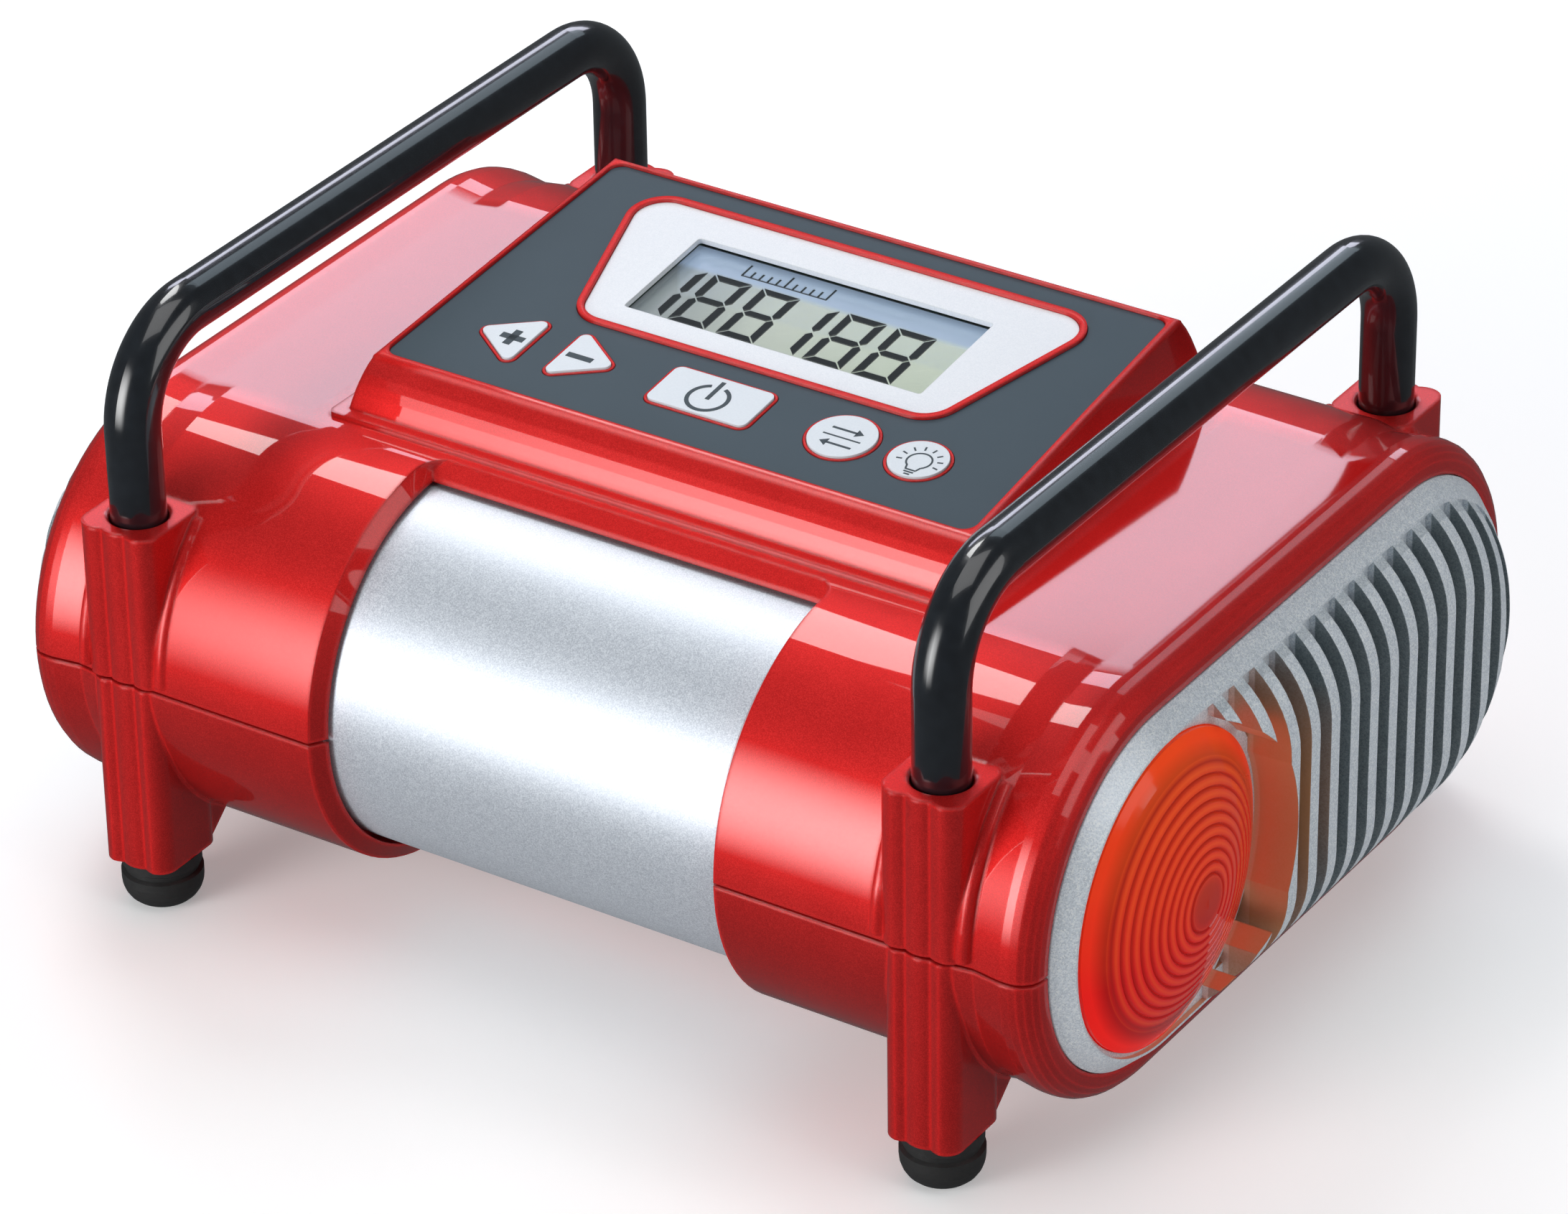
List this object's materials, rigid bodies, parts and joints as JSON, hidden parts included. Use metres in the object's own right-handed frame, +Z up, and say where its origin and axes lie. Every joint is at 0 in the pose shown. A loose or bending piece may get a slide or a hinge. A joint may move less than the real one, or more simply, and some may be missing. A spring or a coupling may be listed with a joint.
{
  "type": "portable digital tyre inflator",
  "caption": "Twin-barrel 12 V tyre inflator: sloping display console, silver sleeve, finned end caps, orange end lamp, black tube handles and rubber feet.",
  "frame": {"origin": "on the floor, midway between the four feet", "axes": "+X along the barrels to the lamp end, +Y to the back with the display reading from the front, +Z up"},
  "size_m": [0.2294, 0.1656, 0.1167],
  "materials": {
    "red_paint": "candy red metallic lacquer over moulded plastic",
    "silver_paint": "fine silver metallic paint",
    "cap_metal": "fine cast sparkle, grey in the slots",
    "lens_amber": "translucent orange-red, ringed",
    "reflector_metal": "bright",
    "bulb_white": "frosted",
    "black_tube": "glossy black, slight orange peel",
    "rubber_black": "matte",
    "screw_steel": "zinc plated",
    "overlay_grey": "dark slate, printed",
    "bezel_silver": "silver satin",
    "window_clear": "clear",
    "lcd_blue": "pale blue-grey with dark digits",
    "button_white": "white with grey signs",
    "board_green": "printed circuit board",
    "black_plastic": "moulded",
    "cast_grey": "die cast",
    "brass_turned": "turned",
    "gear_nylon": "natural nylon",
    "alloy": "machined",
    "copper_wound": "enamelled windings over steel plates",
    "clear_tube": "milky"
  },
  "bodies": {
    "housing": {"upper_casing": "red_paint", "lower_casing": "red_paint", "silver_sleeve": "silver_paint", "left_end_cap": "cap_metal", "right_end_cap": "cap_metal", "lamp_lens": "lens_amber", "lamp_reflector": "reflector_metal", "lamp_bulb": "bulb_white", "bulb_holder": "black_plastic", "left_handle": "black_tube", "right_handle": "black_tube", "handle_inserts": "brass_turned", "handle_screws": "screw_steel", "rubber_feet": "rubber_black", "casing_screws": "screw_steel", "control_overlay": "overlay_grey", "display_bezel": "bezel_silver", "display_window": "window_clear", "lcd_panel": "lcd_blue", "circuit_board": "board_green", "board_screws": "screw_steel", "tact_switches": "black_plastic", "pressure_sensor": "black_plastic", "sensor_tube": "clear_tube", "motor_can": "screw_steel", "motor_magnets": "cast_grey", "motor_bushes": "brass_turned", "motor_end_plate": "black_plastic", "motor_screws": "screw_steel", "pump_frame": "cast_grey", "pump_mounts": "rubber_black", "mount_screws": "screw_steel", "pump_cylinder": "alloy", "cylinder_head": "alloy", "head_screws": "screw_steel", "air_pipe": "rubber_black", "air_outlet": "brass_turned", "cord_grommet": "rubber_black"},
    "rotor": {"motor_armature": "copper_wound", "motor_shaft": "screw_steel", "cooling_fan": "black_plastic", "drive_pinion": "brass_turned"},
    "crank": {"crank_gear": "gear_nylon", "gear_axle": "screw_steel", "crank_pin": "screw_steel"},
    "rod": {"connecting_rod": "alloy", "wrist_pin": "screw_steel"},
    "piston_body": {"piston": "alloy", "piston_ring": "rubber_black"},
    "plus": {"plus_button": "button_white"},
    "minus": {"minus_button": "button_white"},
    "power": {"power_button": "button_white"},
    "unit": {"unit_button": "button_white"},
    "light": {"light_button": "button_white"}
  },
  "joints": [
    {"name": "crank_spin", "type": "hinge", "parent": "housing", "child": "crank", "pos_m": [0, -0.0128, 0.048], "axis": [1, 0, 0], "continuous": true},
    {"name": "rotor_spin", "type": "hinge", "parent": "housing", "child": "rotor", "pos_m": [0, -0.038, 0.048], "axis": [1, 0, 0], "continuous": true},
    {"name": "rod_pivot", "type": "hinge", "parent": "crank", "child": "rod", "pos_m": [0.0025, -0.0188, 0.048], "axis": [1, 0, 0], "continuous": true},
    {"name": "piston_slide", "type": "slide", "parent": "housing", "child": "piston_body", "axis": [0, 1, 0], "range_m": [0, 0.012]},
    {"name": "plus_press", "type": "slide", "parent": "housing", "child": "plus", "axis": [0, 0.1089, -0.9941], "range_m": [0, 0.0006], "stiffness_N_per_m": 800, "springref_m": -0.0004},
    {"name": "minus_press", "type": "slide", "parent": "housing", "child": "minus", "axis": [0, 0.1089, -0.9941], "range_m": [0, 0.0006], "stiffness_N_per_m": 800, "springref_m": -0.0004},
    {"name": "power_press", "type": "slide", "parent": "housing", "child": "power", "axis": [0, 0.1089, -0.9941], "range_m": [0, 0.0006], "stiffness_N_per_m": 800, "springref_m": -0.0004},
    {"name": "unit_press", "type": "slide", "parent": "housing", "child": "unit", "axis": [0, 0.1089, -0.9941], "range_m": [0, 0.0006], "stiffness_N_per_m": 800, "springref_m": -0.0004},
    {"name": "light_press", "type": "slide", "parent": "housing", "child": "light", "axis": [0, 0.1089, -0.9941], "range_m": [0, 0.0006], "stiffness_N_per_m": 800, "springref_m": -0.0004}
  ],
  "couplings": [
    {"joint": "rotor_spin", "follows": "crank_spin", "ratio": -3.5},
    {"joint": "rod_pivot", "follows": "crank_spin", "ratio": -1}
  ]
}
